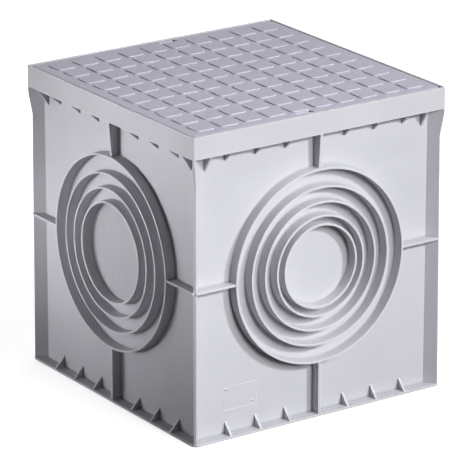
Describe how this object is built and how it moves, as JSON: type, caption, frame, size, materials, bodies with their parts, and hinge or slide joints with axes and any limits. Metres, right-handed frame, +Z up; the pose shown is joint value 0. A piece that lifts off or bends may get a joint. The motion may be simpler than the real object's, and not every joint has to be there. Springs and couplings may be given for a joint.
{
  "type": "drain inspection chamber",
  "caption": "Square moulded plastic drain inspection chamber with concentric knock-out pipe rings on its walls and a loose antislip lid.",
  "frame": {"origin": "centre of the underside of the floor, on the surface the chamber stands on", "axes": "+Z up through the lid; -Y is the wall with the smallest ring as well, -X the wall with one ring fewer"},
  "size_m": [0.4, 0.4, 0.421],
  "materials": {
    "chamber_plastic": "satin light grey polypropylene",
    "lid_plastic": "satin light grey polypropylene, fine moulded grain"
  },
  "bodies": {
    "root": {"chamber": "chamber_plastic", "lid": "lid_plastic"}
  },
  "joints": []
}
